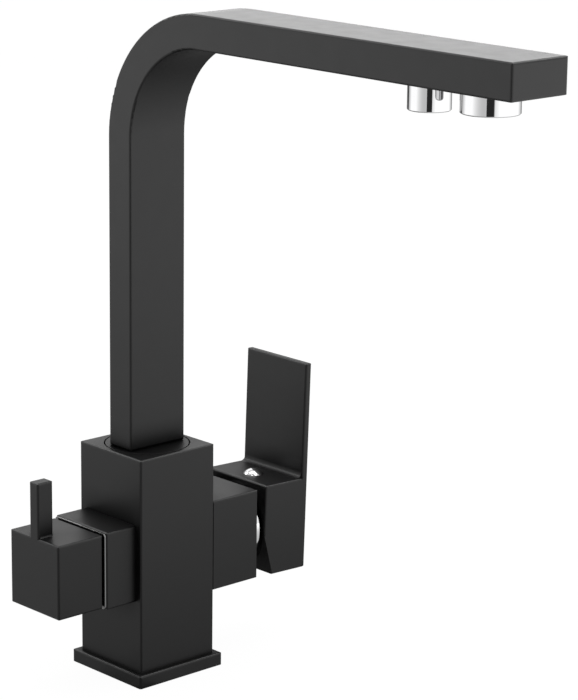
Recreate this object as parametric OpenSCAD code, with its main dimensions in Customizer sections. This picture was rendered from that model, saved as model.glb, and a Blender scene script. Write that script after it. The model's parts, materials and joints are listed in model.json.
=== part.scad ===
// Three way kitchen tap: a square column on a deck flange, a mixer arm with a
// lift-and-turn lever on one side, a quarter-turn filter valve on the other,
// and a swivelling rectangular spout with separate mixed and filtered outlets.
// The origin is the centre of the deck face, +Z is up, the spout points to -Y.

/* [Base flange] */
// Width of the square flange
flange_w = 52.1; // [50:0.1:60]
// Thickness of the flange
flange_t = 6.4; // [5:0.2:10]

/* [Column] */
// Width of the square column
body_w = 46; // [45:0.5:50]
// Height of the column's top above the deck
body_top = 113; // [113:0.5:140]
// Radius of all the outer edges
edge_r = 1.1; // [0.4:0.1:1.4]
// Height of the valve axis above the deck
axis_z = 61; // [56:0.1:61]
// Radius of the round foot that drops through the flange
foot_r = 19; // [18.5:0.1:20]

/* [Filter side] */
// Width of the square filter arm
filter_w = 38.4; // [36:0.1:42]
// Length of the filter arm outside the column
filter_arm_l = 18; // [17:0.1:24]
// Gap between the arm and the knob
knob_gap = 1.5; // [1.4:0.1:2.5]
// How far the knob's sides lie inside the arm's
knob_step = 0.9; // [0:0.1:1.2]
// Length of the knob
knob_l = 26.6; // [25:0.1:34]
// Wall thickness of the knob
knob_wall = 3; // [2:0.1:3.5]
// Width of the knob's finger bar
bar_w = 6.6; // [4:0.1:8]
// Depth of the knob's finger bar along the valve axis
bar_d = 9; // [6:0.1:12]
// Height of the finger bar above the knob
bar_h = 27; // [18:0.1:36]

/* [Mixer side] */
// Width of the square mixer arm
mixer_w = 45.6; // [44:0.1:46]
// Length of the mixer arm outside the column
mixer_arm_l = 29; // [28.6:0.1:36]
// How far the bright cover stands out of the arm
cover_out = 3.7; // [3:0.1:4]

/* [Mixer handle] */
// Width of the handle block and plate
handle_w = 44; // [43.6:0.1:48]
// Gap from the lever pivot to the block's inner face
handle_in = 5.9; // [5.7:0.1:6.5]
// Depth of the block along the valve axis
handle_d = 28.1; // [27:0.1:36]
// Height of the block's top above the valve axis
handle_rise = 23.4; // [22:0.1:25]
// Depth of the block's bottom below the valve axis
handle_drop = 23.4; // [22:0.1:26]
// Height of the plate's top above the valve axis
plate_top = 82.2; // [60:0.2:110]
// Thickness of the plate
plate_t = 3.6; // [3:0.1:6]
// Outward lean of the closed handle, in degrees
handle_lean = 1.8; // [0:0.1:2]

/* [Spout] */
// Width of the spout's section
spout_w = 33.6; // [30:0.2:35]
// Thickness of the spout's section
spout_t = 16.2; // [15:0.1:18]
// Wall thickness of the spout
spout_wall = 1.5; // [1:0.1:1.8]
// Height of the spout's top above the deck
spout_top = 326.4; // [280:0.2:380]
// Radius of the bend's centre line
bend_r = 55; // [40:0.5:70]

/* [Outlets] */
// Reach of the mixed water outlet from the column's axis
mixed_reach = 218.8; // [180:0.2:280]
// How far the spout's tip stands past that outlet
tip_past = 26.7; // [20:0.1:40]
// Distance between the two outlets
outlet_pitch = 34.8; // [30:0.2:45]
// Radius of the mixed water outlet
mixed_r = 12.75; // [12.4:0.05:13.5]
// How far the mixed water outlet hangs below the spout
mixed_drop = 9; // [7:0.1:16]
// Radius of the filtered water outlet
pure_r = 9.4; // [9:0.05:10]
// How far the filtered water outlet hangs below the spout
pure_drop = 12; // [10:0.1:18]

/* [Deck connections] */
// Radius of each hose port
port_r = 4.5; // [4:0.05:4.6]
// Depth of each hose port
port_l = 12; // [9:0.5:16]
// Radius of the fixing stud's hole
stud_r = 3.4; // [3:0.05:3.6]
// Depth of the fixing stud's hole
stud_l = 14; // [10:0.5:20]

/* [Fits] */
// Radial clearance of turning fits
run_gap = 0.05; // [0.03:0.01:0.08]
// Clearance of pieces that are pushed or screwed together
set_gap = 0.1; // [0.05:0.01:0.14]
// Gap between two sliding ceramic faces
film_gap = 0.05; // [0.03:0.01:0.08]

/* [Hidden] */
$fn = 72;

// Cuts run past the faces they open by this much
over = 1;

// Finishes
matt_black = [0.13, 0.13, 0.14];
bright = [0.82, 0.83, 0.85];
steel = [0.62, 0.63, 0.65];
brass = [0.74, 0.60, 0.32];
rubber = [0.06, 0.06, 0.06];
alumina = [0.93, 0.92, 0.88];
polymer = [0.85, 0.86, 0.86];

// Stem that carries the spout inside the column
collar_wall = 2.8;
collar_t = 4;
collar_gap = 0.65;
thrust_t = 1.2;
bush_t = 2;
bush_l = 10.8;
stem_r = 14;
stem_floor = 29;
stem_chamber = 2;
nose_r = 6;
nose_l = 12;
nose_bore_r = 2.5;
head_r = 7;
head_bore_r = 5.6;
core_r = 9.8;
core_floor = 2;
core_roof = 5;
feed_hole_r = 1.6;
feed_hole_ring = 8;
lock_groove_w = 4;
lock_groove_deep = 1.6;
lock_groove_up = 6;
lock_screw_r = 2.5;
lock_tip_r = 1.6;
lock_tip_l = 2;
lock_inset = 1;
hex_key_r = 1.5;
hex_key_deep = 2.5;
seal_r = 0.95;
seal_low_up = 2.2;
seal_high_up = 13.2;
nose_seal_r = 0.65;
tenon_h = 8;
tenon_wall = 1.5;

// The collar fills the column's top but for a thin wall round it
collar_r = body_w / 2 - collar_wall;

// Heights in the column
collar_z = body_top - collar_t;
thrust_z = collar_z - thrust_t;
bush_z = thrust_z - bush_l;
stem_z = body_top - stem_floor;
shoulder_z = stem_z + stem_chamber;

// Water passages
passage_r = 3;
cross_r = 2.8;
passage_cap = 3.4;
port_y = 8.5;
port_x = 8.5;
supply_down = 6;
mixed_up = 9;
mixed_x = 9.5;
mixed_bore_r = 2.5;
filter_x = 10;
pure_bore_r = 2.2;
stud_x = -9.5;
stud_y = 10.5;

// Square arms and the round spigots that enter the column
spigot_l = 6;
gasket_t = 0.8;
mixer_spigot_r = 15;
side_x = body_w / 2;
socket_x = side_x - spigot_l;
mixer_end = side_x + mixer_arm_l;
filter_end = side_x + filter_arm_l;

// Base seal
base_seal_r = 20.6;
base_seal_w = 2.8;
base_seal_t = 2.2;

// Radii of the filter valve: shares of its bore, which follows the arm's width
filter_bore_share = 0.625;
filter_spigot_share = 1.083;
pure_up_share = 0.717;
seat_share = 0.517;
seat_bore_share = 0.285;
valve_bore_share = 0.63;
valve_cage_share = 0.79;
valve_flange_share = 1.183;
valve_hex_share = 1.058;
valve_neck_share = 0.667;
window_share = 0.5;
disc_port_share = 0.167;
disc_ring_share = 0.35;
spindle_share = 0.417;
spline_share = 0.333;
clip_share = 0.542;
knob_boss_share = 0.625;
filter_bore_r = filter_bore_share * filter_w / 2;
filter_spigot_r = filter_spigot_share * filter_bore_r;
pure_up = pure_up_share * filter_bore_r;
seat_r = seat_share * filter_bore_r;
seat_bore_r = seat_bore_share * filter_bore_r;
valve_bore_r = valve_bore_share * filter_bore_r;
valve_cage_r = valve_cage_share * filter_bore_r;
valve_thread_r = filter_bore_r - set_gap;
valve_flange_r = valve_flange_share * filter_bore_r;
valve_hex_r = valve_hex_share * filter_bore_r;
valve_neck_r = valve_neck_share * filter_bore_r;
window_w = window_share * filter_bore_r;
disc_port_r = disc_port_share * filter_bore_r;
disc_port_ring = disc_ring_share * filter_bore_r;
disc_play = 0.15;
filter_disc_r = valve_bore_r - disc_play;
spindle_r = spindle_share * filter_bore_r;
spline_r = spline_share * filter_bore_r;
clip_r = clip_share * filter_bore_r;
knob_boss_r = knob_boss_share * filter_bore_r;

// Lengths of the filter valve, outward along its axis from the arm's bore floor
filter_floor = 4.5;
seat_t = 1.5;
valve_cage_l = 7.5;
valve_flange_t = 1.2;
valve_hex_t = 4.4;
valve_neck_l = 4;
window_l = 4.5;
window_in = 1.6;
filter_disc_t = 3;
spindle_flange_t = 2.4;
spindle_flange_play = 0.1;
spline_deep = 0.35;
spline_count = 20;
spline_end = 2;
clip_t = 0.8;
clip_deep = 0.5;
clip_play = 0.3;
shaft_seal_r = 0.6;
shaft_seal_pitch = 4;
shaft_seal_up = 4;
shim_t = 0.8;
shim_inset = 0.4;
shim_corner = 1.6;
knob_end_wall = 3.5;
knob_boss_clear = 1;
knob_screw_r = 2;
knob_screw_back = 5;
knob_screw_out = 0.8;
knob_access_r = 2.5;
bar_fillet = 1;

// Stations of the filter valve along -X
valve_floor_x = side_x + filter_floor;
valve_x = valve_floor_x + seat_t;
filter_moving_x = valve_x + filter_disc_t + film_gap;
spindle_x = filter_moving_x + filter_disc_t;
spindle_shaft_x = spindle_x + spindle_flange_t;
shim_x = filter_end + shim_t;
valve_hex_x = shim_x + valve_flange_t;
valve_neck_x = valve_hex_x + valve_hex_t;
valve_top_x = valve_neck_x + valve_neck_l;
clip_x = valve_top_x + clip_play;
knob_x = filter_end + knob_gap;
knob_end_x = knob_x + knob_l;
knob_inner_x = knob_end_x - knob_end_wall;
knob_boss_x = clip_x + clip_t + knob_boss_clear;
spindle_tip_x = knob_inner_x - spline_end;
knob_screw_x = knob_inner_x - knob_screw_back;

// Mixer cartridge
cartridge_r = 18;
base_t = 3.5;
base_seal_ring_r = 4.6;
base_seal_ring_t = 1;
mixer_disc_r = 14.6;
mixer_disc_t = 3;
kidney_r = 2.2;
kidney_angle = 36;
moving_disc_r = 12;
moving_disc_t = 3.2;
mixing_bowl_r = 6.5;
mixing_bowl_deep = 1.8;
carrier_t = 3.2;
carrier_boss_r = 6.1;
carrier_boss_l = 3.4;
carrier_web = 1.2;
lug_ring = 8.5;
lug_w = 3;
lug_h = 5;
lug_t = 1.2;
housing_bore_r = 15;
housing_lip_t = 1.8;
rotor_play = 0.45;
rotor_flange_t = 3.2;
turret_r = 12;
slot_w = 7.4;
slot_h = 14.8;
slot_clear = 0.5;
nut_bore_r = 12.6;
nut_notch_w = 3;
nut_notch_deep = 1.4;
nut_notch_count = 6;
cover_seat = 4;
cover_r = 20.2;
cover_wall = 1.4;
cover_wall_in = 1.5;
cover_end = 10;
cover_hole_r = 10.4;

// Lever, measured along its own axis from the pivot
pivot_in = 0.5;
lever_in = 10;
ball_r = 3.4;
ball_play = 0.25;
ball_gap = 0.65;
neck_r = 2.2;
tongue_w = 7;
tongue_in = 6;
tongue_out = 5.5;
shank_w = 8;
shank_end = 24;
pin_r = 1.75;
turret_out = 3;
lift_max = 20;
pocket_clear = 0.1;
pocket_floor = 13.8;
handle_screw_x = 17.2;
handle_screw_r = 2;
handle_screw_l = 8;
cap_r = 5.2;
cap_h = 2.6;
cap_plug_r = 2.6;
cap_plug_l = 4;
relief_down = 2.5;
relief_deep = 6.2;
plate_fillet = 3;
heel_r = 2;

pivot_x = mixer_end - pivot_in;
ball_z = lever_in * sin(handle_lean);
ball_x = pivot_x - lever_in * cos(handle_lean);
disc_travel = lever_in * (sin(handle_lean + lift_max) - sin(handle_lean));
disc_z = -disc_travel / 2;

// Stations of the cartridge along +X, set back from the lever's ball
carrier_x = ball_x - ball_r - ball_gap - carrier_web;
moving_disc_x = carrier_x - moving_disc_t;
fixed_disc_x = moving_disc_x - film_gap - mixer_disc_t;
cart_floor_x = fixed_disc_x - base_t;
rotor_x = carrier_x + carrier_t + rotor_play;
lip_x = rotor_x + rotor_flange_t + set_gap;
housing_top_x = lip_x + housing_lip_t;
cover_seat_x = mixer_end - cover_seat;
cover_rim_x = mixer_end + cover_out;

// Spout stations
tube_inner_r = edge_r / 2;
spout_reach = mixed_reach + tip_past;
pure_reach = mixed_reach - outlet_pitch;
leg_z = spout_top - spout_t / 2;
bend_z = leg_z - bend_r;
under_z = spout_top - spout_t;
tip_wall = 2;
filter_tube_r = 3.5;
filter_tube_bore = 2.5;

// Outlets
boss_wall = 1.5;
mixed_boss_h = 6;
mixed_shoulder = 2.25;
mixed_thread_r = mixed_r - mixed_shoulder;
mixed_thread_l = 6.4;
mixed_wall = 3.15;
mixed_bore = mixed_r - mixed_wall;
mixed_neck_step = 2.1;
mixed_neck_r = mixed_bore - mixed_neck_step;
mixed_neck_l = 4.5;
outlet_washer_t = 1.4;
insert_inset = 1.4;
insert_rim = 1.1;
cell_rows = 3;
cell_edge = 1.35;
cell_pitch = (mixed_bore - cell_edge) / cell_rows;
cell_share = 0.436;
cell_r = cell_share * cell_pitch;
cell_plate_t = 2.4;
pure_boss_r = pure_r;
pure_shoulder = 2.9;
pure_thread_r = pure_r - pure_shoulder;
pure_thread_l = 5;
pure_wall = 2;
pure_bore = pure_r - pure_wall;
pure_neck_wall = 2;
pure_neck_r = pure_thread_r - pure_neck_wall;
pure_neck_l = 9.6;
pure_cell_share = 0.203;
pure_cell_r = pure_cell_share * pure_bore;
pure_ring_share = 0.581;
pure_cell_ring = pure_ring_share * pure_bore;
pure_cell_count = 6;
tube_socket_l = pure_boss_r - pure_thread_r - 3 * set_gap;

// Flat rectangle with round corners, centred
module rounded_rect(x, y, r) {
    square([x - 2 * r, y], center = true);
    square([x, y - 2 * r], center = true);
    for (i = [-1, 1], j = [-1, 1])
        translate([i * (x / 2 - r), j * (y / 2 - r)]) circle(r);
}

// Cylinder from height a to height b
module rod(r, a, b) {
    translate([0, 0, a]) cylinder(r = r, h = b - a);
}

// Tube from height a to height b
module tube(r_out, r_in, a, b) {
    difference() {
        rod(r_out, a, b);
        rod(r_in, a - over, b + over);
    }
}

// Torus lying round the Z axis
module o_ring(ring, r, z) {
    translate([0, 0, z]) rotate_extrude() translate([ring, 0]) circle(r);
}

// Square stick with round corners from height a to height b
module stick(x, y, r, a, b) {
    translate([0, 0, a]) linear_extrude(b - a) rounded_rect(x, y, r);
}

// Concave corner between two faces along +X and +Y, with a lap behind them
module corner_fillet(r) {
    difference() {
        translate([-over, -over]) square(r + over);
        translate([r, r]) circle(r);
    }
}

// The same lap turned to cut a convex corner whose solid lies to -X and -Y
module corner_cut(r) {
    rotate([0, 0, 180]) corner_fillet(r);
}

// Cutters that round the four edges of a stick's end at height 0
module end_cuts(x, y, r) {
    for (i = [0, 1]) rotate([0, 0, i * 180]) {
        translate([x / 2, 0, 0]) rotate([90, 0, 0])
            linear_extrude(y + 2 * over, center = true) corner_cut(r);
        translate([0, y / 2, 0]) rotate([90, 0, 90])
            linear_extrude(x + 2 * over, center = true) corner_cut(r);
    }
}

// Stick whose far end has round edges too
module soft_stick(x, y, r, a, b) {
    difference() {
        stick(x, y, r, a, b);
        translate([0, 0, b]) end_cuts(x, y, r);
    }
}

// Turns local Z to the mixer side, +X, on the valve axis
module to_mixer() {
    translate([0, 0, axis_z]) rotate([0, 90, 0]) children();
}

// Turns local Z to the filter side, -X, on the valve axis
module to_filter() {
    translate([0, 0, axis_z]) rotate([0, -90, 0]) children();
}

// The lever's own frame: X outward along the lever from its pivot
module to_lever() {
    translate([pivot_x, 0, axis_z]) rotate([0, handle_lean, 0]) children();
}

// Places children at the three ports of the mixer side, in to_mixer()
module at_supplies() {
    for (y = [-port_y, port_y]) translate([supply_down, y, 0]) children();
}

module at_mixed() {
    translate([-mixed_up, 0, 0]) children();
}

// Sweeps a round-cornered section up the leg, round the bend and to the tip
module spout_sweep(w, t, r, foot, tip) {
    translate([0, 0, foot]) linear_extrude(bend_z - foot) rounded_rect(w, t, r);
    translate([0, -bend_r, bend_z]) rotate([90, 0, 90])
        rotate_extrude(angle = 90) translate([bend_r, 0]) rounded_rect(t, w, r);
    translate([0, -bend_r, leg_z]) rotate([90, 0, 0])
        linear_extrude(tip - bend_r) rounded_rect(w, t, r);
}

// Sweeps a circle along the same line
module tube_sweep(r, foot, tip) {
    rod_line = [bend_z - foot, tip - bend_r];
    translate([0, 0, foot]) cylinder(r = r, h = rod_line[0]);
    translate([0, -bend_r, bend_z]) rotate([90, 0, 90])
        rotate_extrude(angle = 90) translate([bend_r, 0]) circle(r);
    translate([0, -bend_r, leg_z]) rotate([90, 0, 0])
        cylinder(r = r, h = rod_line[1]);
}

// Column: square bar with a round foot, stem bore, side sockets and waterways
module body_column() {
    color(matt_black) difference() {
        union() {
            soft_stick(body_w, body_w, edge_r, flange_t, body_top);
            rod(foot_r, 0, flange_t + over);
        }
        // Seat and bore of the turning stem
        rod(collar_r + collar_gap, thrust_z, body_top + over);
        rod(stem_r + bush_t + set_gap, bush_z, thrust_z + over);
        rod(stem_r + run_gap, stem_z, bush_z + over);
        rod(nose_r + run_gap, stem_z - nose_l, stem_z + over);
        // Lock screw from the back
        translate([0, 0, shoulder_z + lock_groove_up]) rotate([-90, 0, 0])
            rod(lock_screw_r + set_gap, stem_r - over, side_x + over);
        // Sockets of the two arms
        to_mixer() rod(mixer_spigot_r + set_gap, socket_x, side_x + over);
        to_filter() rod(filter_spigot_r + set_gap, socket_x, side_x + over);
        // Hot and cold supplies
        for (y = [-port_y, port_y]) translate([port_x, y, 0]) {
            rod(port_r, -over, port_l);
            rod(passage_r, port_l - over, axis_z - supply_down + passage_cap);
        }
        to_mixer() at_supplies() rod(cross_r, port_x, socket_x + over);
        // Mixed water up to the stem's chamber
        to_mixer() at_mixed() rod(cross_r, mixed_x, socket_x + over);
        translate([mixed_x, 0, 0])
            rod(mixed_bore_r, axis_z + mixed_up, stem_z + over);
        // Filtered water in, through the valve and up the middle
        translate([-filter_x, 0, 0]) {
            rod(port_r, -over, port_l);
            rod(passage_r, port_l - over, axis_z + passage_cap);
        }
        to_filter() rod(cross_r, filter_x, socket_x + over);
        to_filter() translate([pure_up, 0, 0])
            rod(pure_bore_r, 0, socket_x + over);
        rod(nose_bore_r, axis_z + pure_up, stem_z - nose_l + over);
        // Fixing stud
        translate([stud_x, stud_y, 0]) rod(stud_r, -over, stud_l);
    }
}

// Square flange under the column, with a groove for the deck seal
module base_flange() {
    color(matt_black) difference() {
        soft_stick(flange_w, flange_w, edge_r, 0, flange_t);
        rod(foot_r + set_gap, -over, flange_t + over);
        tube(base_seal_r + base_seal_w, base_seal_r, -over, base_seal_t);
    }
}

// Deck seal, pressed flush with the flange
module base_seal() {
    color(rubber) tube(base_seal_r + base_seal_w - set_gap,
        base_seal_r + set_gap, 0, base_seal_t);
}

// Plastic bush that guides the stem, with a thrust flange under the collar
module spout_bush() {
    color(polymer) difference() {
        union() {
            rod(stem_r + bush_t, bush_z, thrust_z + over);
            rod(collar_r, thrust_z, collar_z);
        }
        rod(stem_r + run_gap, bush_z - over, collar_z + over);
    }
}

// Headless screw whose tip runs in the stem's groove
module spout_lock_screw() {
    groove_r = stem_r - lock_groove_deep;
    tip = groove_r + collar_gap / 2;
    color(steel) translate([0, 0, shoulder_z + lock_groove_up])
        rotate([-90, 0, 0]) difference() {
            union() {
                rod(lock_tip_r, tip, tip + lock_tip_l + over);
                rod(lock_screw_r, tip + lock_tip_l, side_x - lock_inset);
            }
            translate([0, 0, side_x - lock_inset - hex_key_deep])
                cylinder(r = hex_key_r, h = hex_key_deep + over, $fn = 6);
        }
}

// Square arm that holds the filter valve
module filter_arm() {
    color(matt_black) to_filter() difference() {
        union() {
            soft_stick(filter_w, filter_w, edge_r, side_x, filter_end);
            rod(filter_spigot_r, socket_x + gasket_t, side_x + over);
        }
        rod(filter_bore_r, valve_floor_x, filter_end + over);
        rod(cross_r, socket_x, valve_floor_x + over);
        translate([pure_up, 0, 0])
            rod(pure_bore_r, socket_x, valve_floor_x + over);
    }
}

// Gasket at the bottom of the filter arm's socket
module filter_arm_gasket() {
    color(rubber) to_filter() difference() {
        rod(filter_spigot_r, socket_x, socket_x + gasket_t);
        rod(cross_r, socket_x - over, socket_x + gasket_t + over);
        translate([pure_up, 0, 0])
            rod(pure_bore_r, socket_x - over, socket_x + gasket_t + over);
    }
}

// Screwed valve body: open cage, thread, hexagon and neck
module filter_valve_body() {
    cage_end = valve_x + valve_cage_l;
    window_z = valve_x + window_in;
    color(brass) to_filter() difference() {
        union() {
            rod(valve_cage_r, valve_x, cage_end + over);
            rod(valve_thread_r, cage_end, shim_x + over);
            rod(valve_flange_r, shim_x, valve_hex_x);
            translate([0, 0, valve_hex_x])
                cylinder(r = valve_hex_r, h = valve_hex_t, $fn = 6);
            rod(valve_neck_r, shim_x, valve_top_x);
        }
        rod(valve_bore_r, valve_x - over, spindle_shaft_x + spindle_flange_play);
        rod(spindle_r + run_gap, valve_x, valve_top_x + over);
        translate([0, 0, window_z + window_l / 2])
            cube([window_w, 2 * valve_cage_r + over, window_l], center = true);
    }
}

// Rubber seat between the arm's floor and the fixed disc
module filter_seat_seal() {
    color(rubber) to_filter() tube(seat_r, seat_bore_r, valve_floor_x, valve_x);
}

// Ceramic disc with two ports, drawn from height z
module filter_disc(z) {
    difference() {
        rod(filter_disc_r, z, z + filter_disc_t);
        for (i = [-1, 1]) translate([0, i * disc_port_ring, 0])
            rod(disc_port_r, z - over, z + filter_disc_t + over);
    }
}

module filter_fixed_disc() {
    color(alumina) to_filter() filter_disc(valve_x);
}

// The turning disc stands a quarter turn round at rest, which shuts the ports
module filter_moving_disc() {
    color(alumina) to_filter() rotate([0, 0, 90]) filter_disc(filter_moving_x);
}

// Bright square plate between the arm and the knob
module knob_shim() {
    side = filter_w - 2 * shim_inset;
    color(bright) to_filter() difference() {
        stick(side, side, shim_corner, filter_end, shim_x);
        rod(valve_thread_r + set_gap, filter_end - over, shim_x + over);
    }
}

// Outline of the splined spindle end: even teeth round a circle
function spline_points(r) = [
    for (i = [0 : 2 * spline_count - 1])
        let (a = i * 180 / spline_count, d = (i % 2) * spline_deep)
            [(r - d) * cos(a), (r - d) * sin(a)]
];

// Spindle: drive flange, sealed shaft, clip groove and splined end
module filter_spindle() {
    color(brass) to_filter() difference() {
        union() {
            rod(filter_disc_r, spindle_x, spindle_shaft_x);
            rod(spindle_r, spindle_shaft_x - over, clip_x + clip_t + clip_play);
            translate([0, 0, clip_x]) linear_extrude(spindle_tip_x - clip_x)
                polygon(spline_points(spline_r));
        }
        for (i = [0, 1])
            tube(spindle_r + over, spindle_r - 2 * shaft_seal_r,
                spindle_shaft_x + shaft_seal_up + i * shaft_seal_pitch - shaft_seal_r - set_gap,
                spindle_shaft_x + shaft_seal_up + i * shaft_seal_pitch + shaft_seal_r + set_gap);
        tube(spindle_r + over, spindle_r - clip_deep, clip_x, clip_x + clip_t);
    }
}

module spindle_seals() {
    color(rubber) to_filter() for (i = [0, 1])
        o_ring(spindle_r - shaft_seal_r, shaft_seal_r - run_gap,
            spindle_shaft_x + shaft_seal_up + i * shaft_seal_pitch);
}

// Split ring in the spindle's groove
module spindle_clip() {
    color(steel) to_filter() difference() {
        tube(clip_r, spindle_r - clip_deep, clip_x, clip_x + clip_t);
        translate([0, clip_r, clip_x + clip_t / 2])
            cube([2 * clip_r - 2 * spindle_r, 2 * clip_r, clip_t + over], center = true);
    }
}

// Hollow square knob with a splined boss and a finger bar
module filter_knob() {
    knob_w = filter_w - 2 * knob_step;
    cavity = knob_w - 2 * knob_wall;
    bar_x = knob_end_x - bar_d;
    color(matt_black) to_filter() difference() {
        union() {
            difference() {
                soft_stick(knob_w, knob_w, edge_r, knob_x, knob_end_x);
                translate([0, 0, knob_x]) rotate([180, 0, 0]) end_cuts(knob_w, knob_w, edge_r);
                stick(cavity, cavity, edge_r, knob_x - over, knob_inner_x);
            }
            rod(knob_boss_r, knob_boss_x, knob_inner_x + over);
            translate([knob_w / 2, 0, knob_end_x - bar_d / 2]) rotate([0, 90, 0])
                soft_stick(bar_d, bar_w, edge_r, -edge_r - over, bar_h);
            // Blended foot of the bar
            translate([knob_w / 2, -bar_w / 2 + edge_r, bar_x]) rotate([-90, 0, 0])
                linear_extrude(bar_w - 2 * edge_r) corner_fillet(bar_fillet);
            for (i = [0, 1]) mirror([0, i, 0])
                translate([knob_w / 2, bar_w / 2, bar_x + edge_r])
                    linear_extrude(bar_d - 2 * edge_r) corner_fillet(bar_fillet);
        }
        translate([0, 0, knob_boss_x - over])
            linear_extrude(spindle_tip_x + set_gap + over - knob_boss_x)
                polygon(spline_points(spline_r + set_gap));
        // Grub screw and the hole that reaches it from below
        translate([0, 0, knob_screw_x]) rotate([0, -90, 0]) {
            rod(knob_screw_r + set_gap, 0, knob_boss_r + over);
            rod(knob_access_r, cavity / 2 - over, knob_w / 2 + over);
        }
    }
}

module knob_screw() {
    color(steel) to_filter() translate([0, 0, knob_screw_x]) rotate([0, -90, 0])
        difference() {
            rod(knob_screw_r, spline_r + set_gap, knob_boss_r + knob_screw_out);
            translate([0, 0, knob_boss_r + knob_screw_out - knob_screw_r])
                cylinder(r = knob_screw_r / 2, h = knob_screw_r + over, $fn = 6);
        }
}

// Square arm that holds the mixer cartridge
module mixer_arm() {
    color(matt_black) to_mixer() difference() {
        union() {
            soft_stick(mixer_w, mixer_w, edge_r, side_x, mixer_end);
            rod(mixer_spigot_r, socket_x + gasket_t, side_x + over);
        }
        rod(cartridge_r, cart_floor_x, mixer_end);
        rod(cover_r + set_gap, cover_seat_x, mixer_end + over);
        at_supplies() rod(cross_r, socket_x, cart_floor_x + over);
        at_mixed() rod(cross_r, socket_x, cart_floor_x + over);
    }
}

module mixer_arm_gasket() {
    color(rubber) to_mixer() difference() {
        rod(mixer_spigot_r, socket_x, socket_x + gasket_t);
        at_supplies() rod(cross_r, socket_x - over, socket_x + gasket_t + over);
        at_mixed() rod(cross_r, socket_x - over, socket_x + gasket_t + over);
    }
}

// Cartridge base with three sealed ports
module cartridge_base() {
    color(polymer) to_mixer() difference() {
        rod(cartridge_r - set_gap, cart_floor_x, fixed_disc_x);
        at_supplies() base_port();
        at_mixed() base_port();
    }
}

module base_port() {
    rod(cross_r, cart_floor_x - over, fixed_disc_x + over);
    rod(base_seal_ring_r, cart_floor_x - over, cart_floor_x + base_seal_ring_t);
}

module cartridge_base_seals() {
    color(rubber) to_mixer() {
        at_supplies() base_ring();
        at_mixed() base_ring();
    }
}

module base_ring() {
    tube(base_seal_ring_r - set_gap, cross_r,
        cart_floor_x, cart_floor_x + base_seal_ring_t);
}

// Fixed ceramic disc: two curved supply slots and the mixed water outlet
module mixer_fixed_disc() {
    ring = sqrt(port_y * port_y + supply_down * supply_down);
    turn = atan2(port_y, supply_down);
    top = fixed_disc_x + mixer_disc_t;
    color(alumina) to_mixer() difference() {
        rod(mixer_disc_r, fixed_disc_x, top);
        for (i = [-1, 1]) rotate([0, 0, i * turn]) {
            rotate([0, 0, -kidney_angle / 2]) translate([0, 0, fixed_disc_x - over])
                rotate_extrude(angle = kidney_angle) translate([ring - kidney_r, 0])
                    square([2 * kidney_r, mixer_disc_t + 2 * over]);
            for (j = [-1, 1]) rotate([0, 0, j * kidney_angle / 2])
                translate([ring, 0, 0]) rod(kidney_r, fixed_disc_x - over, top + over);
        }
        at_mixed() rod(cross_r, fixed_disc_x - over, top + over);
    }
}

// Cartridge housing: open tube with an inner lip that holds the rotor
module cartridge_housing() {
    color(polymer) to_mixer() difference() {
        rod(cartridge_r - set_gap, fixed_disc_x, housing_top_x);
        rod(housing_bore_r, fixed_disc_x - over, lip_x);
        rod(turret_r + run_gap, lip_x - over, housing_top_x + over);
    }
}

// Threaded ring that holds the cartridge down, with key notches
module cartridge_nut() {
    color(brass) to_mixer() difference() {
        tube(cartridge_r - set_gap, nut_bore_r, housing_top_x, cover_seat_x);
        for (i = [0 : nut_notch_count - 1]) rotate([0, 0, i * 360 / nut_notch_count])
            translate([nut_bore_r, 0, cover_seat_x])
                cube([2 * nut_notch_deep, nut_notch_w, 2 * nut_notch_deep], center = true);
    }
}

// Bright cover: a short skirt and a shallow dome with the lever's opening
module dome_cover() {
    end_x = pivot_x + cover_end;
    dome_h = end_x - cover_rim_x;
    // Centre of the sphere through the skirt's edge and the opening's edge
    back = (cover_r * cover_r - cover_hole_r * cover_hole_r - dome_h * dome_h)
        / (2 * dome_h);
    dome_r = sqrt(cover_r * cover_r + back * back);
    color(bright) to_mixer() difference() {
        intersection() {
            rod(cover_r, cover_seat_x, end_x + over);
            translate([0, 0, cover_rim_x - back]) sphere(dome_r);
        }
        intersection() {
            rod(cover_r - cover_wall_in, cover_seat_x - over, end_x + over);
            translate([0, 0, cover_rim_x - back]) sphere(dome_r - cover_wall);
        }
        rod(cover_hole_r, cover_seat_x - over, end_x + 2 * over);
    }
}

// Turning rotor: flange under the housing's lip and a slotted turret
module cartridge_rotor() {
    boss_slot_w = 2 * (carrier_boss_r + slot_clear);
    boss_low = ball_z - carrier_boss_r - slot_clear;
    boss_high = ball_z + disc_travel + carrier_boss_r + slot_clear;
    turret_end = pivot_x + turret_out;
    color(polymer) difference() {
        to_mixer() union() {
            rod(housing_bore_r - run_gap, rotor_x, rotor_x + rotor_flange_t);
            rod(turret_r, rotor_x, turret_end);
        }
        translate([rotor_x - over, -boss_slot_w / 2, axis_z + boss_low])
            cube([rotor_flange_t + over, boss_slot_w, boss_high - boss_low]);
        translate([rotor_x, -slot_w / 2, axis_z - slot_h / 2])
            cube([turret_end + over - rotor_x, slot_w, slot_h]);
        translate([pivot_x, 0, axis_z]) rotate([90, 0, 0])
            cylinder(r = pin_r + run_gap / 2, h = 2 * turret_r + over, center = true);
    }
}

// Pin across the turret
module lever_pin() {
    half = sqrt(turret_r * turret_r - pin_r * pin_r);
    color(steel) translate([pivot_x, 0, axis_z]) rotate([90, 0, 0])
        cylinder(r = pin_r, h = 2 * half, center = true);
}

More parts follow.
